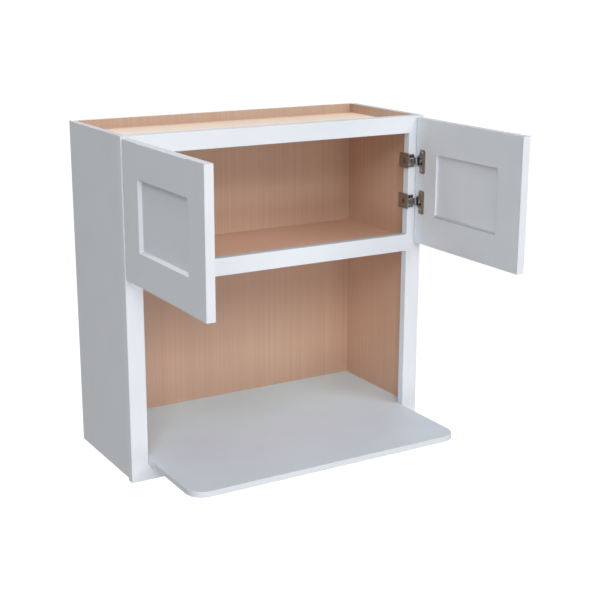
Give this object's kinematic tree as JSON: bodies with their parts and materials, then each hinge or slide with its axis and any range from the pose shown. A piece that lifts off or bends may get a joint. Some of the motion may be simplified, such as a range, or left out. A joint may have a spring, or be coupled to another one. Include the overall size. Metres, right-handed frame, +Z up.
{
  "type": "microwave wall cabinet",
  "caption": "Framed kitchen wall cabinet with a doored upper compartment, an open microwave bay and a deep shelf with rounded front corners.",
  "frame": {"origin": "middle of the back panel's outer face, which lies against the wall: centred on the width, at half the face frame's height", "axes": "+X to the right as seen from the front, +Y back into the wall, +Z up"},
  "size_m": [0.762, 0.682, 0.762],
  "materials": {
    "white_paint": "satin white paint",
    "white_shelf": "satin white paint",
    "maple_veneer": "clear lacquered veneer",
    "natural_birch": "clear lacquered plywood",
    "raw_pine": "planed, unfinished",
    "nickel_steel": "nickel plated",
    "screw_steel": "zinc plated"
  },
  "bodies": {
    "cabinet": {"left_stile": "white_paint", "right_stile": "white_paint", "top_rail": "white_paint", "middle_rail": "white_paint", "bottom_rail": "white_paint", "left_side_panel": "white_paint", "right_side_panel": "white_paint", "back_panel": "maple_veneer", "top_panel": "natural_birch", "deck": "maple_veneer", "microwave_shelf": "white_shelf", "left_shelf_cleat": "raw_pine", "right_shelf_cleat": "raw_pine", "rear_shelf_cleat": "raw_pine", "back_screws": "screw_steel", "hinge_plate_screws": "screw_steel", "left_upper_hinge_plate": "nickel_steel", "left_upper_hinge_arm": "nickel_steel", "left_lower_hinge_plate": "nickel_steel", "left_lower_hinge_arm": "nickel_steel", "right_upper_hinge_plate": "nickel_steel", "right_upper_hinge_arm": "nickel_steel", "right_lower_hinge_plate": "nickel_steel", "right_lower_hinge_arm": "nickel_steel"},
    "left_door": {"left_door_hinge_stile": "white_paint", "left_door_free_stile": "white_paint", "left_door_top_rail": "white_paint", "left_door_bottom_rail": "white_paint", "left_door_panel": "white_paint", "left_door_cup_screws": "screw_steel", "left_upper_hinge_pin": "screw_steel", "left_upper_hinge_cup": "nickel_steel", "left_upper_hinge_spring": "nickel_steel", "left_lower_hinge_pin": "screw_steel", "left_lower_hinge_cup": "nickel_steel", "left_lower_hinge_spring": "nickel_steel"},
    "right_door": {"right_door_hinge_stile": "white_paint", "right_door_free_stile": "white_paint", "right_door_top_rail": "white_paint", "right_door_bottom_rail": "white_paint", "right_door_panel": "white_paint", "right_door_cup_screws": "screw_steel", "right_upper_hinge_pin": "screw_steel", "right_upper_hinge_cup": "nickel_steel", "right_upper_hinge_spring": "nickel_steel", "right_lower_hinge_pin": "screw_steel", "right_lower_hinge_cup": "nickel_steel", "right_lower_hinge_spring": "nickel_steel"}
  },
  "joints": [
    {"name": "left_door_hinge", "type": "hinge", "parent": "cabinet", "child": "left_door", "pos_m": [-0.3685, -0.315, 0.228], "axis": [0, 0, -1], "range_deg": [-90, 15]},
    {"name": "right_door_hinge", "type": "hinge", "parent": "cabinet", "child": "right_door", "pos_m": [0.3685, -0.315, 0.228], "axis": [0, 0, 1], "range_deg": [-90, 15]}
  ]
}
